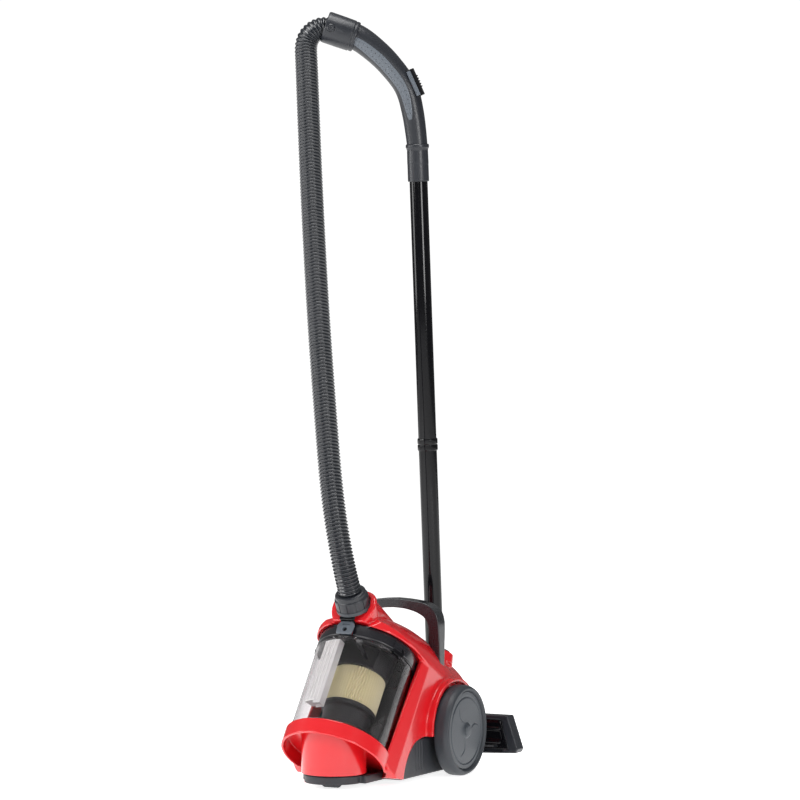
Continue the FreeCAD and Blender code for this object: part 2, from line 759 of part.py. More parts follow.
def rounded_route(points):
    """Straight runs joined by tangent arcs, as one wire, with each arc's radius."""
    edges = []
    radii = []
    here = points[0]
    for before, corner, after in zip(points, points[1:], points[2:]):
        arriving = (corner - before).normalize()
        leaving = (after - corner).normalize()
        turn = arriving.getAngle(leaving)
        reach = 0.45 * min((corner - before).Length, (after - corner).Length)
        radius = reach / math.tan(turn / 2)
        radii.append(radius)
        first = corner - arriving * reach
        last = corner + leaving * reach
        inward = (leaving - arriving).normalize()
        middle = corner + inward * (radius / math.cos(turn / 2) - radius)
        edges.append(Part.LineSegment(here, first).toShape())
        edges.append(Part.Arc(first, middle, last).toShape())
        here = last
    edges.append(Part.LineSegment(here, points[-1]).toShape())
    return Part.Wire(edges), radii


def swept(wire, start, direction, radius):
    """A solid round section carried along a wire."""
    ring = Part.Wire([Part.makeCircle(radius, start, direction)])
    return wire.makePipeShell([ring], True, True)


path, radii = rounded_route(ROUTE)
outer_radius = float(sheet.get("hose_radius"))
inner_radius = float(sheet.get("hose_bore"))
hose = doc.addObject("Part::Feature", "hose")
hose.Shape = swept(path, HOSE_START, out, outer_radius).cut(swept(path, HOSE_START, out, inner_radius))
keep("hose", hose)
print("hose arc radii", [round(radius, 1) for radius in radii])
expected = math.pi * (outer_radius**2 - inner_radius**2) * path.Length
print(f"hose length {path.Length:.1f}, volume {hose.Shape.Volume:.0f}, section times length {expected:.0f}")

# Write ------------------------------------------------------------------------
doc.recompute()
for obj in doc.Objects:
    if any(word in obj.State for word in ("Invalid", "Error")):
        raise RuntimeError(f"{obj.Name} ({obj.Label}) did not compute: {obj.State}")
for name, obj in made:
    shape = obj.Shape
    if shape.isNull() or not shape.isValid() or shape.Volume <= 0:
        raise RuntimeError(f"{name} is not a sound solid")
    shape.exportStep(f"parts/{name}.step")
    print(f"{name:18s} {len(shape.Solids)} solid(s) {shape.Volume / 1000:9.1f} cm3")
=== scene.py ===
import json
import math

import bmesh
import bpy
import numpy as np
from mathutils import Matrix, Vector


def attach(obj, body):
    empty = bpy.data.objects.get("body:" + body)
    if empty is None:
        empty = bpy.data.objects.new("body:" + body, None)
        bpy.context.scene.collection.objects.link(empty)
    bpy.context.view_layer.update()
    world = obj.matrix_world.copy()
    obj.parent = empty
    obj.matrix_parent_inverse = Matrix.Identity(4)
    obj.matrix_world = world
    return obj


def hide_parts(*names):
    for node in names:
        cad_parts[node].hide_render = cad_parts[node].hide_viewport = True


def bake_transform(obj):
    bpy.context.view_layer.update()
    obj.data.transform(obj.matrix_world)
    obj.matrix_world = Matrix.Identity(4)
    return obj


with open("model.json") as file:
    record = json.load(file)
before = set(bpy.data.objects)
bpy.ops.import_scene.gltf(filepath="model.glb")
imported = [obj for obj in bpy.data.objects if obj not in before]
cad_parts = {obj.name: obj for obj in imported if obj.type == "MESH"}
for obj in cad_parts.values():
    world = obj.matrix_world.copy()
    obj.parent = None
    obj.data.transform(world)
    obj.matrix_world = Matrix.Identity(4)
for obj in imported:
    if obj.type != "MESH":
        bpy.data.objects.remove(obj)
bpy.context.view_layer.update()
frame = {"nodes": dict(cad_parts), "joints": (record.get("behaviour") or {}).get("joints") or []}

# Canister vacuum, parked. Local shapes are in millimetres, in frames taken from the joints.

MM = 0.001
NODES = frame["nodes"]
JOINTS = {joint["name"]: joint for joint in frame["joints"]}


# Frames -------------------------------------------------------------------
def frame_along(origin, axis, near_x=(1, 0, 0)):
    """A frame at origin, in metres, with Z along axis and X as near near_x as it can be."""
    z = Vector(axis).normalized()
    x = Vector(near_x)
    x = (x - x.dot(z) * z).normalized()
    turned = Matrix((x, z.cross(x), z)).transposed().to_4x4()
    turned.translation = Vector(origin)
    return turned


def shifted(place, x=0.0, y=0.0, z=0.0):
    """A frame moved along its own axes by millimetres."""
    return place @ Matrix.Translation(Vector((x, y, z)) * MM)


def turned(place, angle, axis):
    """A frame turned about one of its own axes, in degrees."""
    return place @ Matrix.Rotation(math.radians(angle), 4, axis)


def at(place, x, y, z):
    """A point in metres from millimetres in a frame."""
    return place @ (Vector((x, y, z)) * MM)


WORLD = Matrix.Identity(4)
CUP = frame_along(JOINTS["bin_twist"]["pos_m"], JOINTS["bin_twist"]["axis"])
COLLAR_HEIGHT = 75
INLET = shifted(
    frame_along(JOINTS["lower_cuff_swivel"]["pos_m"], JOINTS["lower_cuff_swivel"]["axis"]),
    z=-COLLAR_HEIGHT,
)
HEAD = Matrix.Translation(JOINTS["head_tilt"]["pos_m"])
WAND = shifted(frame_along(JOINTS["head_tilt"]["pos_m"], JOINTS["wand_lift"]["axis"]), z=16.04)
HANDLE = turned(shifted(WAND, z=936), 208, "Z")
TOP_CUFF = turned(shifted(HANDLE, 155, 0, 278), 69, "Y")
ALONG_X = Matrix.Rotation(math.pi / 2, 4, "Y")
AXLE = Matrix.Translation((0, 0, JOINTS["right_wheel_spin"]["pos_m"][2]))

# Camera -------------------------------------------------------------------
camera_data = bpy.data.cameras.new("camera")
camera_data.lens = 143.06
camera_data.shift_x = 0.0196
camera_data.shift_y = -0.0371
camera = bpy.data.objects.new("camera", camera_data)
camera.location = (2.582, -4.916, 0.700)
camera.rotation_euler = (math.radians(90), 0, math.radians(28))
bpy.context.scene.collection.objects.link(camera)
bpy.context.scene.camera = camera


# Materials ----------------------------------------------------------------
def add_node(tree, kind, **inputs):
    """A shader node with some of its inputs set."""
    node = tree.nodes.new(kind)
    for name, value in inputs.items():
        node.inputs[name.replace("_", " ")].default_value = value
    return node


def noise(tree, scale, detail=3.0, rough=0.5):
    """A noise texture in the object's own coordinates."""
    where = tree.nodes.new("ShaderNodeTexCoord")
    grain = add_node(tree, "ShaderNodeTexNoise", Scale=scale, Detail=detail, Roughness=rough)
    tree.links.new(where.outputs["Object"], grain.inputs["Vector"])
    return grain


def ranged(tree, source, low, high, start=0.3, stop=0.7):
    """A noise value spread between two numbers."""
    spread = tree.nodes.new("ShaderNodeMapRange")
    spread.inputs["From Min"].default_value = start
    spread.inputs["From Max"].default_value = stop
    spread.inputs["To Min"].default_value = low
    spread.inputs["To Max"].default_value = high
    tree.links.new(source, spread.inputs["Value"])
    return spread.outputs["Result"]


def moulded(
    name, color, rough, coat=0.0, grain=600.0, depth=0.02, spread=0.12, wear=0.25, specular=0.5,
    metal=0.0,
):
    """Moulded plastic, rubber or metal: faint colour and gloss variation, grain, and paler edges."""
    made = bpy.data.materials.new(name)
    made.use_nodes = True
    tree = made.node_tree
    shader = tree.nodes["Principled BSDF"]
    shader.inputs["Coat Weight"].default_value = coat
    shader.inputs["Coat Roughness"].default_value = 0.06
    shader.inputs["Specular IOR Level"].default_value = specular
    shader.inputs["Metallic"].default_value = metal
    broad = noise(tree, 9.0, 4.0)
    fine = noise(tree, grain, 3.0, 0.6)
    ramp = tree.nodes.new("ShaderNodeMix")
    ramp.data_type = "RGBA"
    ramp.inputs["A"].default_value = (*[c * (1 - spread) for c in color], 1)
    ramp.inputs["B"].default_value = (*[min(1, c * (1 + spread)) for c in color], 1)
    tree.links.new(broad.outputs["Fac"], ramp.inputs["Factor"])
    geometry = tree.nodes.new("ShaderNodeNewGeometry")
    edges = ranged(tree, geometry.outputs["Pointiness"], 0.0, wear, 0.52, 0.62)
    worn = tree.nodes.new("ShaderNodeMix")
    worn.data_type = "RGBA"
    worn.inputs["B"].default_value = (*[min(1, c * 1.6 + 0.06) for c in color], 1)
    tree.links.new(edges, worn.inputs["Factor"])
    tree.links.new(ramp.outputs["Result"], worn.inputs["A"])
    tree.links.new(worn.outputs["Result"], shader.inputs["Base Color"])
    roughness = ranged(tree, fine.outputs["Fac"], rough * 0.85, min(1.0, rough * 1.2))
    tree.links.new(roughness, shader.inputs["Roughness"])
    bump = add_node(tree, "ShaderNodeBump", Strength=depth, Distance=0.001)
    tree.links.new(fine.outputs["Fac"], bump.inputs["Height"])
    tree.links.new(bump.outputs["Normal"], shader.inputs["Normal"])
    return made


def clear_plastic(name, color, rough, through, scratch=0.0):
    """Clear moulded plastic with faint flow marks and fine scratches."""
    made = bpy.data.materials.new(name)
    made.use_nodes = True
    tree = made.node_tree
    shader = tree.nodes["Principled BSDF"]
    shader.inputs["Transmission Weight"].default_value = through
    shader.inputs["IOR"].default_value = 1.3
    broad = noise(tree, 14.0, 2.0)
    ramp = tree.nodes.new("ShaderNodeMix")
    ramp.data_type = "RGBA"
    ramp.inputs["A"].default_value = (*[c * 0.95 for c in color], 1)
    ramp.inputs["B"].default_value = (*[min(1, c * 1.05) for c in color], 1)
    tree.links.new(broad.outputs["Fac"], ramp.inputs["Factor"])
    tree.links.new(ramp.outputs["Result"], shader.inputs["Base Color"])
    fine = noise(tree, 300.0, 4.0)
    roughness = ranged(tree, fine.outputs["Fac"], rough, rough + 0.05)
    tree.links.new(roughness, shader.inputs["Roughness"])
    if scratch:
        bump = add_node(tree, "ShaderNodeBump", Strength=scratch, Distance=0.0005)
        tree.links.new(fine.outputs["Fac"], bump.inputs["Height"])
        tree.links.new(bump.outputs["Normal"], shader.inputs["Normal"])
    return made


RED = moulded(
    "red_gloss", (0.62, 0.009, 0.014), 0.22, coat=0.35, grain=180, depth=0.006, spread=0.03, wear=0.1
)
BLACK_GLOSS = moulded(
    "black_gloss", (0.003, 0.003, 0.004), 0.12, coat=0.1, grain=250, depth=0.008, specular=0.22
)
HANDLE_BLACK = moulded("handle_black", (0.014, 0.015, 0.018), 0.26, coat=0.15, grain=900, depth=0.03)
BLACK_MATTE = moulded("black_matte", (0.010, 0.010, 0.012), 0.42, grain=1400, depth=0.12, specular=0.4)
GREY_SATIN = moulded("grey_satin", (0.017, 0.019, 0.024), 0.32, grain=1600, depth=0.08, specular=0.45)
CHASSIS = moulded("chassis_grey", (0.024, 0.026, 0.031), 0.42, grain=1300, depth=0.14, specular=0.4)
WHEEL = moulded("wheel_grey", (0.044, 0.052, 0.062), 0.38, grain=1500, depth=0.12)
TYRE = moulded("tyre_rubber", (0.028, 0.033, 0.040), 0.45, grain=1800, depth=0.16, specular=0.45)
HOSE = moulded("hose_grey", (0.009, 0.011, 0.015), 0.22, coat=0.15, grain=900, depth=0.05, specular=0.5)
GRIP_PALE = moulded("grip_pale", (0.10, 0.115, 0.135), 0.38, grain=1500, depth=0.05)
LID = moulded("lid_black", (0.008, 0.008, 0.011), 0.2, coat=0.3, grain=500, depth=0.02)
LATCH = moulded("latch_grey", (0.085, 0.10, 0.12), 0.3, grain=900, depth=0.04)
CREAM = moulded("filter_cream", (0.74, 0.68, 0.44), 0.85, grain=2500, depth=0.3, specular=0.2)
FOAM = moulded("foam_grey", (0.10, 0.10, 0.11), 0.95, grain=2200, depth=0.6, specular=0.1)
BRISTLE = moulded("bristle", (0.03, 0.03, 0.034), 0.7, grain=3000, depth=0.4)
STEEL = moulded("steel", (0.55, 0.55, 0.57), 0.28, grain=1200, depth=0.03, metal=1.0)
COPPER = moulded("copper", (0.55, 0.27, 0.12), 0.32, grain=1500, depth=0.1, metal=1.0)
SMOKE = clear_plastic("clear_smoke", (0.79, 0.77, 0.78), 0.012, 1.0)
FROST = clear_plastic("clear_frost", (0.97, 0.98, 0.95), 0.3, 0.22, 0.03)


# Mesh tools ---------------------------------------------------------------
def new_object(name, verts, faces, place=WORLD):
    """A mesh object whose points are millimetres in a frame."""
    mesh = bpy.data.meshes.new(name)
    mesh.from_pydata([at(place, *v) for v in verts], [], faces)
    work = bmesh.new()
    work.from_mesh(mesh)
    bmesh.ops.remove_doubles(work, verts=work.verts, dist=1e-6)
    bmesh.ops.recalc_face_normals(work, faces=work.faces)
    work.to_mesh(mesh)
    work.free()
    obj = bpy.data.objects.new(name, mesh)
    bpy.context.scene.collection.objects.link(obj)
    return obj


def settle(obj):
    """Apply an object's modifiers to its mesh."""
    graph = bpy.context.evaluated_depsgraph_get()
    final = bpy.data.meshes.new_from_object(obj.evaluated_get(graph))
    obj.modifiers.clear()
    obj.data = final
    return obj


def combined(obj, tools, operation="DIFFERENCE"):
    """An object with others cut from it, joined to it or shared with it."""
    for tool in tools:
        step = obj.modifiers.new("step", "BOOLEAN")
        step.operation = operation
        step.solver = "EXACT"
        step.object = tool
        settle(obj)
        bpy.data.objects.remove(tool)
    return obj


def melted(obj, voxel, rounds, factor=0.5):
    """Remesh evenly and relax, which rounds every edge as a moulding has them."""
    remesh = obj.modifiers.new("remesh", "REMESH")
    remesh.mode = "VOXEL"
    remesh.voxel_size = voxel * MM
    relax = obj.modifiers.new("relax", "SMOOTH")
    relax.factor = factor
    relax.iterations = rounds
    return settle(obj)


def finish_piece(obj, body, material, replaced=(), sharp=60):
    """Give a piece its material and shading, its body, and the CAD nodes it stands for."""
    obj.data.materials.clear()
    obj.data.materials.append(material)
    obj.data.shade_smooth()
    obj.data.set_sharp_from_angle(angle=math.radians(sharp))
    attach(obj, body)
    if replaced:
        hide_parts(*replaced)
    return obj


def eased(points, radius, closed=True, steps=4):
    """A polygon with its corners rounded off by about radius."""
    out = []
    count = len(points)
    for index, corner in enumerate(points):
        if not closed and index in (0, count - 1):
            out.append(tuple(corner))
            continue
        here = np.array(corner, float)
        before = np.array(points[index - 1], float)
        after = np.array(points[(index + 1) % count], float)
        room_before = np.linalg.norm(before - here)
        room_after = np.linalg.norm(after - here)
        start = here + (before - here) / room_before * min(radius, 0.45 * room_before)
        stop = here + (after - here) / room_after * min(radius, 0.45 * room_after)
        for step in range(steps + 1):
            t = step / steps
            out.append(tuple((1 - t) ** 2 * start + 2 * t * (1 - t) * here + t * t * stop))
    return out


def curve_through(points, steps=8):
    """A smooth line through points, as a Catmull-Rom chain."""
    known = [np.array(p, float) for p in points]
    known = [2 * known[0] - known[1], *known, 2 * known[-1] - known[-2]]
    out = []
    for a, b, c, d in zip(known, known[1:], known[2:], known[3:]):
        for step in range(steps):
            t = step / steps
            out.append(
                tuple(
                    0.5 * (2 * b + (c - a) * t + (2 * a - 5 * b + 4 * c - d) * t**2
                           + (3 * b - a - 3 * c + d) * t**3)
                )
            )
    out.append(tuple(known[-2]))
    return out


def lathe(name, profile, place, steps=128, ease=0.0):
    """A closed half section of (radius, height) turned about a frame's Z."""
    if ease:
        profile = eased(profile, ease)
    verts = []
    for step in range(steps):
        angle = 2 * math.pi * step / steps
        c, s = math.cos(angle), math.sin(angle)
        verts += [(max(r, 0.0) * c, max(r, 0.0) * s, z) for r, z in profile]
    count = len(profile)
    faces = []
    for step in range(steps):
        a, b = step * count, (step + 1) % steps * count
        for index in range(count):
            after = (index + 1) % count
            faces.append((a + index, b + index, b + after, a + after))
    obj = new_object(name, verts, faces, place)
    return cleaned(obj)


def cleaned(obj):
    """Drop the slivers that a profile point on the axis leaves."""
    work = bmesh.new()
    work.from_mesh(obj.data)
    bmesh.ops.dissolve_degenerate(work, edges=work.edges, dist=1e-6)
    bmesh.ops.delete(work, geom=[e for e in work.edges if not e.link_faces], context="EDGES")
    bmesh.ops.recalc_face_normals(work, faces=work.faces)
    work.to_mesh(obj.data)
    work.free()
    return obj


def prism(name, outline, low, high, place=WORLD):
    """A polygon in a frame's XY, run from one height to another."""
    count = len(outline)
    verts = [(x, y, low) for x, y in outline] + [(x, y, high) for x, y in outline]
    faces = [tuple(range(count))[::-1], tuple(range(count, 2 * count))]
    for index in range(count):
        after = (index + 1) % count
        faces.append((index, after, after + count, index + count))
    return new_object(name, verts, faces, place)


def block(name, x0, x1, y0, y1, z0, z1, place=WORLD):
    """A plain box, used only as a tool for cutting and joining."""
    return prism(name, [(x0, y0), (x1, y0), (x1, y1), (x0, y1)], z0, z1, place)


def rod(name, radius, low, high, place, steps=96):
    """A round bar, used only as a tool for cutting and joining."""
    ring = [2 * math.pi * step / steps for step in range(steps)]
    return prism(name, [(radius * math.cos(a), radius * math.sin(a)) for a in ring], low, high, place)


def copy_of(node, name):
    """A new object with the shape of a CAD node."""
    obj = bpy.data.objects.new(name, NODES[node].data.copy())
    bpy.context.scene.collection.objects.link(obj)
    return obj


def soft_copy(node, body, material, voxel, rounds, tools=()):
    """A CAD node remade with moulded edges, after some cuts."""
    obj = copy_of(node, node + "_moulded")
    obj.data.materials.clear()
    combined(obj, tools)
    melted(obj, voxel, rounds)
    return finish_piece(obj, body, material, [node])


def tube_along(name, path, section, side=None):
    """Rings of (side, up) offsets along a path in metres, as section(share, distance) gives them."""
    points = [Vector(p) for p in path]
    length = [0.0]
    for a, b in zip(points, points[1:]):
        length.append(length[-1] + (b - a).length)
    tangents = []
    for index in range(len(points)):
        a = points[max(index - 1, 0)]
        b = points[min(index + 1, len(points) - 1)]
        tangents.append((b - a).normalized())
    side = side or tangents[0].orthogonal().normalized()
    rings = []
    for index, point in enumerate(points):
        along = tangents[index]
        side = (side - side.dot(along) * along).normalized()
        up = along.cross(side)
        ring = section(length[index] / length[-1], length[index])
        rings.append([point + side * a * MM + up * b * MM for a, b in ring])
    count = len(rings[0])
    verts = [v / MM for ring in rings for v in ring]
    faces = []
    for r in range(len(rings) - 1):
        for k in range(count):
            after = (k + 1) % count
            faces.append((r * count + k, r * count + after, (r + 1) * count + after, (r + 1) * count + k))
    faces.append(tuple(range(count))[::-1])
    faces.append(tuple(range((len(rings) - 1) * count, len(rings) * count)))
    return new_object(name, verts, faces)


# Hose ---------------------------------------------------------------------
HOSE_RADIUS = 20
RIB_PITCH = 5.9
SEAT = 26
CUFF_TOP = 100
HOSE_START = at(INLET, 0, 0, CUFF_TOP)
HOSE_END = at(TOP_CUFF, 0, 0, -SEAT)
MOUTH = turned(TOP_CUFF, -69, "Y")
ROUTE = [
    HOSE_START,
    at(INLET, 0, 0, CUFF_TOP + 45),
    Vector((-0.022, -0.206, 0.478)),
    Vector((-0.050, -0.181, 0.630)),
    Vector((-0.085, -0.144, 0.805)),
    Vector((-0.124, -0.096, 1.010)),
    Vector((-0.150, -0.062, 1.162)),
    Vector((-0.162, -0.046, 1.236)),
    at(MOUTH, 35.6, 0, -26.5),
    at(MOUTH, 21.2, 0, -7.3),
    at(TOP_CUFF, 0, 0, 24 - SEAT),
    HOSE_END,
]


def spline_points(points, steps=24):
    """Points along the NURBS line that has these control points."""
    data = bpy.data.curves.new("route", "CURVE")
    data.dimensions = "3D"
    data.resolution_u = steps
    line = data.splines.new("NURBS")
    line.points.add(len(points) - 1)
    for knot, point in zip(line.points, points):
        knot.co = (*point, 1)
    line.order_u = 3
    line.use_endpoint_u = True
    carrier = bpy.data.objects.new("route", data)
    bpy.context.scene.collection.objects.link(carrier)
    graph = bpy.context.evaluated_depsgraph_get()
    mesh = bpy.data.meshes.new_from_object(carrier.evaluated_get(graph))
    found = [v.co.copy() for v in mesh.vertices]
    bpy.data.objects.remove(carrier)
    return found


def evenly(points, spacing):
    """The same line with its points a set distance apart, in metres."""
    length = [0.0]
    for a, b in zip(points, points[1:]):
        length.append(length[-1] + (b - a).length)
    count = max(2, round(length[-1] / spacing))
    marks = np.linspace(0, length[-1], count + 1)
    axes = [np.interp(marks, length, [p[k] for p in points]) for k in range(3)]
    return [Vector(p) for p in zip(*axes)], length[-1]


def rib(distance):
    """How far below its crests a ribbed hose is, in millimetres, at a distance along it."""
    wave = 0.5 - 0.5 * math.cos(2 * math.pi * distance / (RIB_PITCH * MM))
    return 2.3 * (1 - wave**0.7)


hose_line = spline_points(ROUTE)
hose_path, hose_length = evenly(hose_line, RIB_PITCH * MM / 8)
RING = [2 * math.pi * k / 48 for k in range(48)]


def hose_ring(share, distance):
    """One ring of the ribbed hose."""
    radius = HOSE_RADIUS - rib(distance)
    return [(radius * math.cos(a), radius * math.sin(a)) for a in RING]


hose = tube_along("ribbed_hose", hose_path, hose_ring)
hose.data.materials.append(HOSE)
hose.data.shade_smooth()
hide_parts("hose")
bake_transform(hose)

# Red cover ----------------------------------------------------------------
HALF_WIDTH = 96
SIDE = Matrix(((0, 0, 1, 0), (1, 0, 0, 0), (0, 1, 0, 0), (0, 0, 0, 1)))
TOP_LINE = [
    (98, 74), (103, 112), (102, 140), (96, 168), (80, 193), (42, 221), (0, 244), (-30, 256),
    (-60, 266), (-112, 279), (-150, 283), (-186, 268),
]
CROWN_LINE = [
    (-240, 292), (-190, 288), (-150, 283), (-112, 279), (-60, 266), (-30, 256), (0, 244), (42, 222),
    (80, 204), (120, 186),
]
FOOT_LINE = [(-170, 10), (-163, 30), (-148, 52), (-126, 68), (-100, 74)]


def side_outline():
    """The cover's side view as (y, z), smooth on top and over the foot."""
    rows = curve_through(TOP_LINE, 10)
    rows += [(-94, 203), (-226, 48), (-216, 30), (-198, 15)]
    rows += curve_through(FOOT_LINE, 8)
    return rows


def arch_solid(inset):
    """The cover's arched cross-section, lofted under its crown; flatter over the cup than at the back."""
    crown_y, crown_z = zip(*curve_through(CROWN_LINE, 10))
    half = HALF_WIDTH - inset
    verts = []
    stations = np.linspace(-235, 115, 61)
    for y in stations:
        crown = np.interp(y, crown_y, crown_z) - inset
        rise = np.interp(y, [-150, -20, 60], [60, 92, 104])
        verts.append((-half, y, -200.0))
        for step in range(97):
            angle = math.pi * (1 - step / 96)
            drop = rise * (1 - abs(math.sin(angle)) ** 1.12)
            verts.append((half * math.cos(angle), y, crown - drop))
        verts.append((half, y, -200))
    count = 99
    faces = [tuple(range(count)), tuple(len(verts) - 1 - i for i in range(count))]
    for ring in range(len(stations) - 1):
        for step in range(count):
            after = (step + 1) % count
            a, b = ring * count, (ring + 1) * count
            faces.append((a + step, b + step, b + after, a + after))
    return cleaned(new_object("arch", verts, faces))


def cover_block():
    """The cover before anything is cut from it."""
    outer = prism("top_cover_moulded", side_outline(), -120, 120, SIDE)
    nose = rod("nose", 93, -150, 350, CUP, 192)
    flank = block("flank", -130, 130, 0, 600, -400, 600, CUP)
    combined(nose, [flank], "UNION")
    combined(outer, [arch_solid(0)], "INTERSECT")
    return combined(outer, [nose], "INTERSECT")


def ring_hull(name, rings):
    """A solid hull round several circles, each (frame, radius)."""
    work = bmesh.new()
    for place, radius in rings:
        for step in range(96):
            angle = 2 * math.pi * step / 96
            work.verts.new(at(place, radius * math.cos(angle), radius * math.sin(angle), 0))
    bmesh.ops.convex_hull(work, input=work.verts)
    loose = [v for v in work.verts if not v.link_faces]
    bmesh.ops.delete(work, geom=loose)
    mesh = bpy.data.meshes.new(name)
    work.to_mesh(mesh)
    work.free()
    obj = bpy.data.objects.new(name, mesh)
    bpy.context.scene.collection.objects.link(obj)
    return obj


def arch_lip(side):
    """The raised edge over one wheel."""
    lip = rod("lip", 89, -10.3, 10, shifted(AXLE, side * 99) @ ALONG_X, 148)
    combined(lip, [rod("lip_bore", 83, -20, 20, shifted(AXLE, side * 99) @ ALONG_X, 148)])
    return combined(lip, [block("lip_room", -140, 140, -104, 112, 74.5, 300)], "INTERSECT")


def cheek_bevel(side):
    """What the slanted face beside the cup takes off the cover's flank."""
    outline = [(88.6, -80), (88.6, 12), (96.6, 52), (150, 52), (150, -80)]
    return prism("cheek_bevel", [(side * x, y) for x, y in outline], -70, 188, CUP)


cover = cover_block()
collar = lathe(
    "collar",
    [
        (0, -10), (38, -10), (39.5, 50), (40.6, 68), (41, 74), (39.6, 78), (35.4, 80), (31.6, 78.4),
        (29, 76), (0, 76),
    ],
    INLET, 128, 1.5,
)
saddle_foot = frame_along((0, -0.050, 0.250), (0, -0.45, 0.9))
saddle = ring_hull(
    "saddle",
    [(shifted(INLET, z=COLLAR_HEIGHT - 8), 39.5), (shifted(INLET, z=8), 38), (saddle_foot, 20)],
)
combined(saddle, [block("saddle_room", -80, 80, -200, 200, -200, 189, CUP)], "DIFFERENCE")
below_lid = rod("below_lid", 200, -110, 189, CUP)
combined(collar, [below_lid])
BUTTON_REACH = 0.048
BUTTONS = {
    name: frame_along((side * BUTTON_REACH, 0.062, 0.200), -Vector(JOINTS[joint]["axis"]))
    for name, joint, side in (("power_button", "power_press", 1), ("rewind_button", "rewind_press", -1))
}
pads = [
    lathe("pad", [(0, -16), (24, -16), (21.5, 3.2), (0, 3.2)], spot, 96) for spot in BUTTONS.values()
]
combined(cover, [collar, saddle, arch_lip(1), arch_lip(-1), *pads], "UNION")
hollow = prism(
    "hollow",
    [(-130, 60), (94, 60), (98.5, 112), (97.5, 139), (92, 165), (76, 189), (39, 216),
     (-2, 239), (-32, 251), (-62, 261), (-100, 270), (-130, 250)],
    -110, 110, SIDE,
)
combined(hollow, [arch_solid(3.6), block("hollow_rear", -200, 200, 47, 600, -300, 500, CUP)], "INTERSECT")
bay_room = rod("bay_room", 91.9, -31.3, 188.7, CUP, 192)
combined(bay_room, [block("bay_front", -200, 200, -200, 41, -300, 500, CUP)])
cover_rooms = [
    hollow,
    bay_room,
    rod("cup_room", 88.4, -29.1, 188.2, CUP, 180),
    rod("lid_room", 89.2, 155.7, 190.3, CUP, 192),
    block("front", -88, 88, -260, -91, 3, 420, CUP),
    *[cheek_bevel(side) for side in (1, -1)],
    rod("cuff_room", 30.2, 66, 160, INLET, 110),
    rod("spigot_room", 20.3, 44, 91, INLET, 84),
    rod("port_room", 17, 186, 204, shifted(CUP, y=-50)),
    rod("axle_room", 14, -150, 150, AXLE @ ALONG_X),
    block("chassis_room", -92.2, 92.2, -172.2, 120, 0, 72.7),
    block("grille_room", -50.4, 50.4, 90, 120, 82, 110.4),
    block("bracket_room", -17, 17, 90, 120, 127, 159),
    rod("cord_room", 7.1, -30, 30, frame_along((-0.070, 0.1, 0.1), (0, 1, 0))),
    *[rod("wheel_room", 83, -30, 30, shifted(AXLE, side * 127) @ ALONG_X, 160) for side in (1, -1)],
    *[rod("button_room", 16.6, -38, 30, spot, 90) for spot in BUTTONS.values()],
]
combined(cover, cover_rooms)
melted(cover, 1.25, 7)
finish_piece(cover, "body", RED, ["top_cover"])

# Front hoop and drum --------------------------------------------------------
hoop = lathe(
    "front_hoop_moulded",
    [(0, -4), (87.4, -4), (87.4, -28), (91.6, -28), (92.2, -0.6), (0, -0.6)], CUP, 192,
)
drum = rod("drum", 55, 24, 134, Matrix.Translation((0, -0.240, 0)), 160)
combined(drum, [rod("drum_room", 52, 20, 150, Matrix.Translation((0, -0.240, 0)), 160)])
combined(drum, [rod("drum_cap", 200, -2, 396, CUP)])
combined(hoop, [drum], "UNION")
combined(hoop, [
    block("hoop_rear", -200, 200, 34, 200, -60, -3.7, CUP),
    block("hoop_low", -200, 200, -500, 100, -200, 12.3),
])
melted(hoop, 0.95, 6)
finish_piece(hoop, "body", RED, ["front_hoop"])

# Chassis --------------------------------------------------------------------
side_grooves = [
    block("groove", side * 92 - 1.2, side * 92 + 1.2, y, y + 3.4, 20, 69)
    for side in (1, -1)
    for y in (-118, -108, -98)
]
soft_copy("base_chassis", "body", CHASSIS, 1.3, 4, side_grooves)

# Wheels ---------------------------------------------------------------------
WHEEL_RADIUS = 78
WHEEL_INNER = 104
WHEEL_WIDTH = 28
DISC = WHEEL_RADIUS - 12


def crescent_depth(x, y):
    """How deep the three curved grooves of a wheel's face are at a point, in millimetres."""
    deepest = 0.0
    for turn in (90, 210, 330):
        a = math.radians(turn)
        u = x * math.cos(a) + y * math.sin(a)
        v = -x * math.sin(a) + y * math.cos(a)
        if not 13 < u < 49:
            continue
        bend = 11 * math.sin((u - 13) / 36 * math.pi * 0.9) - 2
        share = math.sin((u - 13) / 36 * math.pi)
        width = 0.5 + 1.5 * share
        gap = abs(v - bend) / width
        if gap < 1:
            deepest = max(deepest, (0.5 + 0.5 * math.cos(gap * math.pi)) * (0.4 + 1.2 * share))
    return deepest


def face_height(radius):
    """The outer face of a wheel above its inner face, without grooves."""
    hub = 4.2 * max(0.0, 1 - (radius / 14.0) ** 2) if radius < 14 else 0.0
    crown = 1.8 * (1 - (radius / DISC) ** 2)
    ring_groove = 1.5 * math.exp(-(((radius - 57.5) / 1.1) ** 2))
    return WHEEL_WIDTH - 4.2 + hub + crown - ring_groove


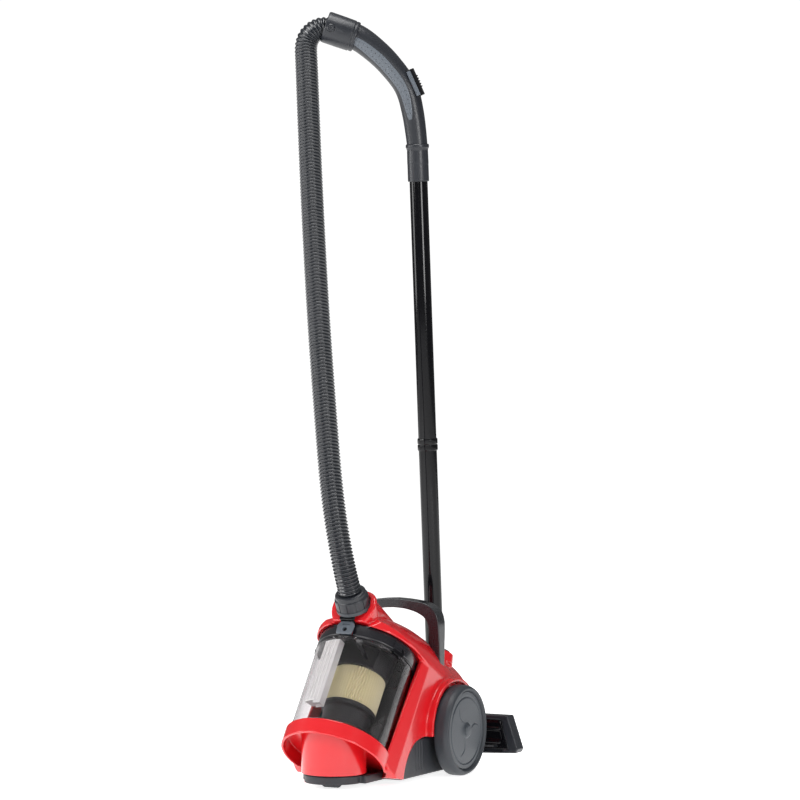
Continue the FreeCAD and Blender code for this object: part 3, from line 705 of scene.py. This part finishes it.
def wheel_disc(side, place):
    """A wheel's disc, with its domed face, ring groove and three curved grooves."""
    radii = list(np.linspace(0, DISC, 122))
    steps = 420
    verts = []
    for radius in radii:
        for step in range(steps):
            a = 2 * math.pi * step / steps
            x, y = radius * math.cos(a), radius * math.sin(a)
            verts.append((x, y, WHEEL_INNER + face_height(radius) - crescent_depth(x, y)))
    for radius, height in ((DISC, 0), (24, 0), (24, 6), (5.2, 6)):
        for step in range(steps):
            a = 2 * math.pi * step / steps
            verts.append((radius * math.cos(a), radius * math.sin(a), WHEEL_INNER + height))
    faces = []
    for ring in range(len(radii) + 3):
        for step in range(steps):
            after = (step + 1) % steps
            a, b = ring * steps, (ring + 1) * steps
            faces.append((a + step, a + after, b + after, b + step))
    last = (len(radii) + 3) * steps
    faces.append(tuple(range(last, last + steps)))
    return cleaned(new_object(f"wheel_{side}_face", verts, faces, place))


for side, angle in (("right", 90), ("left", -90)):
    hub = turned(AXLE, angle, "Y")
    body = side + "_wheel"
    disc = wheel_disc(side, hub)
    finish_piece(disc, body, WHEEL, [f"wheel_{side}"], 50)
    tyre = lathe(
        f"tyre_{side}_rounded",
        [
            (DISC + 0.15, WHEEL_INNER + 0.5), (WHEEL_RADIUS - 1.5, WHEEL_INNER),
            (WHEEL_RADIUS, WHEEL_INNER + 3),
            (WHEEL_RADIUS, WHEEL_INNER + WHEEL_WIDTH - 8), (WHEEL_RADIUS - 4, WHEEL_INNER + WHEEL_WIDTH),
            (DISC + 3, WHEEL_INNER + WHEEL_WIDTH), (DISC + 0.15, WHEEL_INNER + WHEEL_WIDTH - 5.5),
        ],
        hub, 256, 3.0,
    )
    finish_piece(tyre, body, TYRE, [f"tyre_{side}"])

# Caster ---------------------------------------------------------------------
ROLLER_RADIUS = 17
ROLLER_WIDTH = 28
roller_profile = [(3.05, 0), (ROLLER_RADIUS - 1.5, 0), (ROLLER_RADIUS - 0.3, 1.2)]
for groove in range(4):
    start = 3.2 + groove * 5.6
    roller_profile += [
        (ROLLER_RADIUS, start - 1), (ROLLER_RADIUS, start + 1.4), (ROLLER_RADIUS - 1.6, start + 2.2),
        (ROLLER_RADIUS - 1.6, start + 3.6),
    ]
roller_profile += [
    (ROLLER_RADIUS, ROLLER_WIDTH - 2.4), (ROLLER_RADIUS - 0.3, ROLLER_WIDTH - 1.2),
    (ROLLER_RADIUS - 1.5, ROLLER_WIDTH), (3.05, ROLLER_WIDTH),
]
roller_at = Matrix.Translation(JOINTS["caster_roll"]["pos_m"])
roller = lathe(
    "roller_ribbed", roller_profile, shifted(roller_at, -ROLLER_WIDTH / 2) @ ALONG_X, 128, 0.4
)
finish_piece(roller, "roller", TYRE, ["caster_wheel"])
soft_copy("caster_fork", "caster", BLACK_MATTE, 0.7, 2)

# Dust cup -------------------------------------------------------------------
CUP_RADIUS = 85.5
RIM = 162
LID_TOP = RIM + 26
clear_bin = lathe(
    "clear_bin_wall",
    [
        (83, 4), (81.5, 0.2), (84.3, 0.2), (CUP_RADIUS, 2.4), (CUP_RADIUS, 20), (CUP_RADIUS, RIM - 8),
        (CUP_RADIUS, RIM),
        (83, RIM), (83, RIM - 8), (83, 20),
    ],
    CUP, 192, 0.7,
)
finish_piece(clear_bin, "bin", SMOKE, ["clear_bin"])
bin_floor = lathe(
    "bin_floor_dished",
    [(0, 1.2), (60, 1.2), (64, 0), (81, 0), (82.6, 3.8), (79.5, 7), (64, 7), (60, 5), (0, 5)],
    CUP, 192, 0.8,
)
finish_piece(bin_floor, "bin", SMOKE, ["bin_floor"])

lid = lathe(
    "cup_lid_band",
    [
        (0, RIM + 22), (82.5, RIM + 22), (82.5, RIM + 0.2), (71.5, RIM + 0.2), (71.5, RIM - 3),
        (82.7, RIM - 3), (82.7, RIM + 0.2), (86.5, RIM + 0.2), (86.5, RIM + 2.4), (85.7, RIM + 3.0),
        (85.7, RIM + 4.0), (86.5, RIM + 4.6), (86.5, LID_TOP - 2), (84.5, LID_TOP), (0, LID_TOP),
    ],
    CUP, 192, 0.4,
)
combined(lid, [
    rod("port", 17, RIM, RIM + 60, shifted(CUP, y=-50)),
    block("latch_window", -12.4, 12.4, -100, -78, RIM + 3, RIM + 19, CUP),
])
finish_piece(lid, "cup", LID, ["cup_lid"], 40)


def on_wall(angle, radius, height):
    """A frame on the cup's wall, angle degrees round from its front: X along the wall, Y inwards, Z up."""
    return shifted(turned(CUP, angle, "Z"), 0, -radius, height)


def plate(name, outline, thick, place, ease=1.0):
    """A flat plate with rounded corners and edges, its outline in X and Z of a frame and its face at -Y."""
    upright = place @ Matrix.Rotation(math.pi / 2, 4, "X")
    obj = prism(name, eased(outline, ease), 0, thick, upright)
    soften = obj.modifiers.new("soften", "BEVEL")
    soften.width = min(thick * 0.3, 0.8) * MM
    soften.segments = 3
    soften.limit_method = "ANGLE"
    soften.angle_limit = math.radians(40)
    return settle(obj)


latch_front = on_wall(0, 91.4, RIM)
latch = plate(
    "cup_latch_plate", [(-15, 0.6), (15, 0.6), (16.5, 17), (11, 24.5), (-11, 24.5), (-16.5, 17)], 2.8,
    latch_front, 2.5,
)
stem = block("latch_stem", -8.5, 8.5, 1.5, 10, 4, 16, latch_front)
combined(latch, [stem], "UNION")
hole_at = shifted(latch_front, 0, 0, 9) @ Matrix.Rotation(math.pi / 2, 4, "X")
combined(latch, [
    rod("latch_hole", 4.2, -5, 20, hole_at),
    block("latch_slot", -7, 7, -6, -1.2, 17.4, 19.4, latch_front),
])
finish_piece(latch, "latch", LATCH, ["cup_latch"], 35)
# Painted shade: a black disc set inside the latch hole, behind the plate, so the hole's depth reads dark;
# there is no pin there.
finish_piece(rod("latch_hole_painted_shade", 4.0, -4.8, -1.4, hole_at), "latch", BLACK_GLOSS)
hook_at = on_wall(0, 96.2, RIM)
hook = plate(
    "latch_hook",
    [(-13, 24.8), (-15, 29), (-12, 34), (-6, 36), (6, 36), (12, 34), (15, 29), (13, 24.8)],
    2.4, hook_at, 1.2,
)
combined(hook, [
    block("hook_foot", -13, 13, 1.6, 9.6, 24.9, 26.4, hook_at),
    rod("hook_knob", 2.4, 0, 3, shifted(hook_at, 0, 0, 31.5) @ Matrix.Rotation(math.pi / 2, 4, "X")),
], "UNION")
finish_piece(hook, "cup", BLACK_GLOSS)
strut = plate(
    "cup_strut", [(-8, -2), (6, -2), (6, -12), (22, -34), (18, -37), (-2, -14), (-8, -8)], 4,
    on_wall(19, 80.4, RIM), 1.0,
)
finish_piece(strut, "cup", BLACK_GLOSS)
for side, angle in (("right", 66), ("left", -78)):
    tab_at = on_wall(angle, 86.2, RIM)
    tab = plate(
        f"lock_tab_{side}", [(-12, 5), (9, 5), (12, 12), (12, 20), (-12, 20)], 1.1, tab_at, 1.5
    )
    finish_piece(tab, "cup", LID, (), 35)
    bar = plate(
        f"lock_bar_{side}",
        [(-10, -3.4), (10, -3.4), (12, 3.2), (9, 12), (6, 12), (8, 4.4), (-10, 4.4)], 2.6, tab_at, 0.8,
    )
    finish_piece(bar, "cup", BLACK_GLOSS, (), 35)

PLEATS = 58
pleat_steps = PLEATS * 6
verts = []
for height in (66.2, 67.5, 130.6, 131.8):
    for step in range(pleat_steps):
        a = 2 * math.pi * step / pleat_steps
        fold = abs((step % 6) - 3) / 3
        radius = 46 - 4.6 * fold if 67 < height < 131 else 45.4 - 4.0 * fold
        verts.append((radius * math.cos(a), radius * math.sin(a), height))
for height in (131.8, 66.2):
    for step in range(pleat_steps):
        a = 2 * math.pi * step / pleat_steps
        verts.append((30.2 * math.cos(a), 30.2 * math.sin(a), height))
faces = []
for ring in range(6):
    after_ring = (ring + 1) % 6
    for step in range(pleat_steps):
        after = (step + 1) % pleat_steps
        faces.append(
            (ring * pleat_steps + step, ring * pleat_steps + after,
             after_ring * pleat_steps + after, after_ring * pleat_steps + step)
        )
pleats = new_object("filter_pleats", verts, faces, CUP)
finish_piece(pleats, "cup", CREAM, ["pleated_filter"], 20)

skirt = lathe(
    "skirt_flared",
    [
        (0, 26), (38, 26), (43.4, 20), (46, 20), (41, 29), (41, 54), (43.5, 57), (46.6, 58), (46.6, 61.9),
        (0, 61.9),
    ],
    CUP, 160, 1.0,
)
finish_piece(skirt, "cup", BLACK_MATTE, ["cyclone_skirt"])


def duct_shell(name, inner, outer, low_x, high_x, low, high):
    """A curved rectangular duct that follows the inside of the bin's wall."""
    start = math.asin(low_x / outer)
    stop = math.asin(high_x / outer)
    outline = []
    for step in range(25):
        a = start + (stop - start) * step / 24
        outline.append((outer * math.sin(a), -outer * math.cos(a)))
    for step in range(25):
        a = stop + (start - stop) * step / 24
        outline.append((inner * math.sin(a), -inner * math.cos(a)))
    return prism(name, eased(outline, 2.5, steps=3), low, high, CUP)


duct = duct_shell("inlet_duct_frosted", 67.5, 82.4, -41, -9, 34, 158)
combined(duct, [duct_shell("duct_bore", 69.3, 80.6, -39, -11, 30, 162)])
combined(duct, [block("duct_low", -60, -24, -100, -50, 20, 40, CUP)])
duct_ribs = [duct_shell("duct_rib", 80.2, 83.2, x - 0.7, x + 0.7, 41, 157) for x in (-33, -25, -17)]
combined(duct, [*duct_ribs, duct_shell("duct_lip", 66, 83.2, -43, -22, 39, 42)], "UNION")
finish_piece(duct, "cup", FROST, ["inlet_duct"], 40)

# Hose cuffs -----------------------------------------------------------------
lower_cuff = lathe(
    "lower_cuff_ribbed",
    [
        (16, 48), (20, 48), (20, 66.6), (29.4, 66.6), (29.4, 89), (28.8, 91), (27, 92.4), (26.8, 97),
        (26, 98.8), (24, 100), (16.05, 100),
    ],
    INLET, 160, 0.8,
)
combined(lower_cuff, [
    block("cuff_groove", -0.8, 0.8, -34, -28.3, 70, 97, turned(INLET, 30 * step + 8, "Z"))
    for step in range(12)
])
finish_piece(lower_cuff, "hose_cuff", GREY_SATIN, ["lower_cuff"], 35)

CUFF_LENGTH = 58
upper_cuff = lathe(
    "upper_cuff_rounded",
    [
        (23.05, -CUFF_LENGTH), (25.4, -CUFF_LENGTH), (26.6, -CUFF_LENGTH + 1), (27.2, -CUFF_LENGTH + 5),
        (26.4, -CUFF_LENGTH + 6), (26.4, -CUFF_LENGTH + 7.4), (27.6, -CUFF_LENGTH + 8.4), (28, -30),
        (28, -3), (26.6, 0), (24.6, 0), (24.5, -25.9), (20.4, -25.9), (20.4, -29), (23.05, -32),
    ],
    TOP_CUFF, 160, 1.0,
)
BUTTON_BACK = -11
cuff_button_at = shifted(TOP_CUFF, 0, 0, BUTTON_BACK) @ Matrix.Rotation(-math.pi / 2, 4, "X")
combined(upper_cuff, [rod("button_room", 7.3, 18, 40, cuff_button_at)])
finish_piece(upper_cuff, "top_cuff", GREY_SATIN, ["upper_cuff"], 35)
cuff_button = lathe(
    "cuff_button_domed",
    [(0, 24.6), (7, 24.6), (7, 28.6), (5.6, 29.9), (3.4, 29.9), (2.8, 29.3), (0, 29.3)],
    cuff_button_at, 64, 0.4,
)
finish_piece(cuff_button, "release", GREY_SATIN, ["cuff_button"])

# Bent handle ----------------------------------------------------------------
GRIP_LINE = [
    (0, 32), (0, 62), (5.7, 121), (17, 167), (44, 207), (72, 236), (99, 256.6), (124.7, 266.4),
]
handle_line = [at(HANDLE, x, 0, z) for x, z in curve_through(GRIP_LINE, 24)]
handle_path = evenly(handle_line, 1.1 * MM)[0]
def handle_radius(share):
    """The bent handle's radius, wider upwards."""
    return 18 + 5 * min(1.0, max(0.0, (share - 0.08) / 0.8))


def handle_ring(share, distance):
    """One ring of the bent handle."""
    angles = [2 * math.pi * step / 96 for step in range(96)]
    return [(handle_radius(share) * math.cos(a), handle_radius(share) * math.sin(a)) for a in angles]


handle = tube_along("handle_grip", handle_path, handle_ring, HANDLE.to_3x3() @ Vector((0, 1, 0)))
finish_piece(handle, "wand", GREY_SATIN, ["handle_tube"], 40)

PAD_START = 0.27
PAD_STOP = 0.965
PAD_ROWS = (-0.38, 0.38)
DIMPLE_PITCH = 8.5


def grip_pad(name, side):
    """A pale pad on one flank of the handle, thin at its rim, with two rows of round dimples."""
    line = np.array(curve_through(GRIP_LINE, 24))
    run = np.concatenate([[0], np.cumsum(np.linalg.norm(np.diff(line, axis=0), axis=1))])
    verts = []
    across = np.linspace(-1, 1, 45)
    stations = np.linspace(0.004, 0.996, 330)
    for share_of_pad in stations:
        share = PAD_START + (PAD_STOP - PAD_START) * share_of_pad
        at_run = share * run[-1]
        x, z = np.interp(at_run, run, line[:, 0]), np.interp(at_run, run, line[:, 1])
        ahead, behind = at_run + 2, at_run - 2
        along = np.array([
            np.interp(ahead, run, line[:, 0]) - np.interp(behind, run, line[:, 0]),
            np.interp(ahead, run, line[:, 1]) - np.interp(behind, run, line[:, 1]),
        ])
        along /= np.linalg.norm(along)
        half = 0.52 * math.sin(math.pi * share_of_pad) ** 0.3
        place = (at_run / DIMPLE_PITCH) % 1 - 0.5
        ring = []
        for v in across:
            reach = handle_radius(share) + 0.6 - 1.1 * abs(v) ** 7
            for row in PAD_ROWS:
                gap = math.hypot(place * DIMPLE_PITCH, (v - row) * half * 22) / 1.7
                if gap < 1 and 0.05 < share_of_pad < 0.95:
                    reach -= 1.1 * (0.5 + 0.5 * math.cos(gap * math.pi))
            ring.append((0.36 + v * half, reach))
        ring += [(angle, handle_radius(share) - 1.6) for angle, reach in ring[::-1]]
        for angle, reach in ring:
            inner = reach * math.sin(angle)
            verts.append((x + along[1] * inner, side * reach * math.cos(angle), z - along[0] * inner))
    count = 2 * len(across)
    faces = [tuple(range(count)), tuple(len(verts) - 1 - i for i in range(count))]
    for ring in range(len(stations) - 1):
        for step in range(count):
            after = (step + 1) % count
            a, b = ring * count, (ring + 1) * count
            faces.append((a + step, a + after, b + after, b + step))
    return new_object(name, verts, faces, HANDLE)


finish_piece(grip_pad("grip_pad_right", -1), "wand", GRIP_PALE, ["grip_right"], 50)
finish_piece(grip_pad("grip_pad_left", 1), "wand", GRIP_PALE, ["grip_left"], 50)
SLIDER = turned(shifted(HANDLE, 17, 0, 167), 22, "Y")


def slider_sector(name, start, stop, inner, outer, half_length):
    """A piece of the slider's saddle, between two angles from the handle's outer side."""
    angles = [math.radians(180 + start + (stop - start) * step / 24) for step in range(25)]
    outline = [(outer * math.cos(a), outer * math.sin(a)) for a in angles]
    outline += [(inner * math.cos(a), inner * math.sin(a)) for a in angles[::-1]]
    return prism(name, eased(outline, 0.8, steps=2), -half_length, half_length, SLIDER)


collar_low = lathe(
    "handle_collar",
    [
        (16.02, 0), (18.2, 0), (18.7, 1), (18.7, 31), (18.9, 33), (18.6, 55), (19.4, 58), (20.6, 60),
        (20.6, 64.5), (19.4, 66), (16.6, 66), (16.6, 33), (16.02, 31),
    ],
    HANDLE, 128, 0.6,
)
finish_piece(collar_low, "wand", GREY_SATIN, (), 40)
slider = slider_sector("slider_block", -58, 58, 21.2, 26.2, 25)
ridges = [block("ridge", -28, -25, -8, 8, z - 0.9, z + 0.9, SLIDER) for z in (-10, -5, 0, 5, 10)]
combined(slider, ridges, "UNION")
melted(slider, 0.6, 2)
finish_piece(slider, "slider", BLACK_GLOSS, ["suction_slider"])
for name, start in (("slider_stripe_right", 46), ("slider_stripe_left", -60)):
    finish_piece(slider_sector(name, start, start + 14, 22, 26.7, 23), "slider", GRIP_PALE)

# Wand -----------------------------------------------------------------------
WAND_RADIUS = 16
lower_wand = lathe(
    "lower_wand_tube",
    [(14.4, 26), (WAND_RADIUS, 26), (WAND_RADIUS, 466), (15.2, 470), (14.4, 470)], WAND, 160, 0.4,
)
finish_piece(lower_wand, "wand", BLACK_GLOSS, ["lower_wand"])
upper_wand = lathe(
    "upper_wand_tube",
    [(14.4, 470.2), (15.2, 470.2), (WAND_RADIUS, 474), (WAND_RADIUS, 965), (14.4, 965)], WAND, 160, 0.4,
)
finish_piece(upper_wand, "wand", BLACK_GLOSS, ["upper_wand"])
ring = lathe(
    "wand_joint",
    [
        (16.03, 459), (17.2, 459), (17.9, 461), (17.9, 468.6), (17.2, 469.4), (17.2, 470.8), (17.9, 471.6),
        (17.9, 479), (17.2, 481), (16.03, 481),
    ],
    WAND, 128, 0.4,
)
finish_piece(ring, "wand", BLACK_GLOSS, ["wand_ring"])
soft_copy("park_hook", "wand", BLACK_GLOSS, 0.7, 3)
soft_copy("park_bracket", "body", BLACK_MATTE, 0.7, 3)
soft_copy("neck", "wand", BLACK_GLOSS, 0.7, 3)

# Floor head -----------------------------------------------------------------
FACE = HEAD @ Matrix.Rotation(math.pi / 2, 4, "X")
recess = prism(
    "recess", eased([(-151, -52.5), (151, -52.5), (134, 1.4), (-134, 1.4)], 4), 15.4, 30, FACE
)
head = copy_of("head_housing", "head_housing_moulded")
head.data.materials.clear()
combined(head, [recess])
melted(head, 1.1, 4)
finish_piece(head, "head", GREY_SATIN, ["head_housing"])
sole = prism(
    "sole_glossy", eased([(-149, -51), (149, -51), (132.6, 0.2), (-132.6, 0.2)], 3), 13.1, 15.9, FACE
)
sole_channels = [
    prism("mouth", eased([(-70, -33), (70, -33), (66, -22), (-66, -22)], 3), 0, 40, FACE),
    prism("channel", eased([(-137, -35), (137, -35), (133, -19), (-133, -19)], 2), 14.8, 40, FACE),
    prism("slit", eased([(-128, -49), (128, -49), (127, -44.6), (-127, -44.6)], 1), 0, 40, FACE),
]
combined(sole, sole_channels)
for edge_height in (-15, -39):
    rib_bar = prism(
        "rib_bar", eased([(-133, edge_height - 1.2), (133, edge_height - 1.2), (132, edge_height + 1.2),
                          (-132, edge_height + 1.2)], 0.8), 14, 16.9, FACE,
    )
    combined(sole, [rib_bar], "UNION")
melted(sole, 0.9, 2)
finish_piece(sole, "head", BLACK_GLOSS, ["sole_plate"])
tufts = []
for step in range(58):
    x = -117.5 + step * 235 / 57
    tufts.append(block("tuft", x - 1.5, x + 1.5, -48.2, -45.4, 13.3, 16.6, FACE))
strip = block("brush_tufts", -119.4, 119.4, -48.6, -45.0, 13.2, 14.2, FACE)
combined(strip, tufts, "UNION")
finish_piece(strip, "brush", BRISTLE, ["brush_strip"])
soft_copy("head_pedal", "pedal", GREY_SATIN, 0.7, 3)

# Carry handle ---------------------------------------------------------------
outer_line = curve_through([(87, 186), (88, 240), (87, 268), (79, 286), (60, 297), (30, 302), (0, 304)], 10)
inner_line = curve_through([(67, 186), (68, 236), (67, 258), (61, 271), (46, 280), (24, 286), (0, 288)], 10)
outline = outer_line + [(-x, z) for x, z in outer_line[::-1][1:]]
outline += [(-x, z) for x, z in inner_line] + [(x, z) for x, z in inner_line[::-1][1:]]
carry = prism("carry_handle_arch", outline, 0.5, 27.5, Matrix.Rotation(math.pi / 2, 4, "X"))
profile = prism(
    "carry_profile",
    [(-27.5, 310), (-27.5, 268), (-24, 240), (-17, 180), (-2, 180), (-0.5, 250), (-0.5, 310)],
    -120, 120, SIDE,
)
combined(carry, [profile], "INTERSECT")
melted(carry, 0.9, 6)
finish_piece(carry, "body", HANDLE_BLACK, ["carry_handle"])

# Buttons --------------------------------------------------------------------
for name, spot in BUTTONS.items():
    cap = lathe(
        f"{name}_cap",
        [(0, -16), (10, -16), (10, -6), (16, -6), (16, 5.4), (14.6, 7.4), (9.6, 8.6), (9, 8.0), (0, 8.6)],
        spot, 128, 0.7,
    )
    finish_piece(cap, name.split("_")[0], GREY_SATIN, [name])

# CAD shapes that stay, with better materials ----------------------------------
KEPT = {
    "cup_bay": BLACK_MATTE, "axle_right": WHEEL, "axle_left": WHEEL, "caster_socket": BLACK_MATTE,
    "filter_holder": BLACK_MATTE, "inlet_seal": TYRE, "head_pin": STEEL, "fan_case": BLACK_MATTE,
    "motor_can": STEEL, "rotor": COPPER, "motor_cradle": BLACK_MATTE, "pre_filter": FOAM,
    "reel_frame": BLACK_MATTE, "cord_drum": BLACK_MATTE, "rear_grille": BLACK_MATTE,
    "exhaust_filter": FOAM, "cord_outlet": TYRE,
}
for node, material in KEPT.items():
    for place in NODES[node].material_slots:
        place.material = material
    if not NODES[node].material_slots:
        NODES[node].data.materials.append(material)

# Floor and light --------------------------------------------------------------
FLOOR_HALF = 9000
corners = [(x * FLOOR_HALF, y * FLOOR_HALF, 0) for x, y in ((-1, -1), (1, -1), (1, 1), (-1, 1))]
floor = new_object("floor", corners, [(0, 1, 2, 3)])
floor_look = moulded(
    "floor_white", (0.93, 0.93, 0.93), 0.6, spread=0.005, grain=40, depth=0.0, wear=0.0, specular=0.1
)
floor_shader = floor_look.node_tree.nodes["Principled BSDF"]
floor_shader.inputs["Emission Color"].default_value = (1, 1, 1, 1)
floor_shader.inputs["Emission Strength"].default_value = 0.82
floor.data.materials.append(floor_look)

world = bpy.data.worlds.new("studio")
world.use_nodes = True
sky = world.node_tree
white = sky.nodes["Background"]
white.inputs["Color"].default_value = (1, 1, 1, 1)
white.inputs["Strength"].default_value = 1.05
direction = sky.nodes.new("ShaderNodeTexCoord")
height = sky.nodes.new("ShaderNodeSeparateXYZ")
sky.links.new(direction.outputs["Generated"], height.inputs["Vector"])
room = sky.nodes.new("ShaderNodeBackground")
sky.links.new(ranged(sky, height.outputs["Z"], 0.12, 0.42, -0.1, 0.9), room.inputs["Strength"])
rays = sky.nodes.new("ShaderNodeLightPath")
seen = sky.nodes.new("ShaderNodeMath")
seen.operation = "MAXIMUM"
sky.links.new(rays.outputs["Is Camera Ray"], seen.inputs[0])
sky.links.new(rays.outputs["Is Transmission Ray"], seen.inputs[1])
both = sky.nodes.new("ShaderNodeMixShader")
sky.links.new(seen.outputs["Value"], both.inputs["Fac"])
sky.links.new(room.outputs["Background"], both.inputs[1])
sky.links.new(white.outputs["Background"], both.inputs[2])
sky.links.new(both.outputs["Shader"], sky.nodes["World Output"].inputs["Surface"])
bpy.context.scene.world = world
bpy.context.scene.view_settings.view_transform = "Standard"


def soft_light(name, spot, aim, size, power):
    """A large square lamp at a place, turned towards a point."""
    data = bpy.data.lights.new(name, "AREA")
    data.shape = "SQUARE"
    data.size = size
    data.energy = power
    lamp = bpy.data.objects.new(name, data)
    lamp.location = spot
    lamp.rotation_euler = (Vector(aim) - Vector(spot)).to_track_quat("-Z", "Y").to_euler()
    bpy.context.scene.collection.objects.link(lamp)


soft_light("front_left", (-2.2, -3.0, 1.9), (0, -0.1, 0.35), 1.5, 60)
soft_light("right", (2.9, -1.6, 1.2), (0, 0, 0.3), 0.9, 36)
soft_light("top", (0.1, -0.4, 3.2), (0, 0, 0.2), 1.5, 54)
soft_light("tall", (1.4, -3.4, 1.6), (0, 0, 0.9), 0.5, 6)
soft_light("left", (-2.4, -1.3, 1.2), (0, 0, 0.9), 1.0, 20)
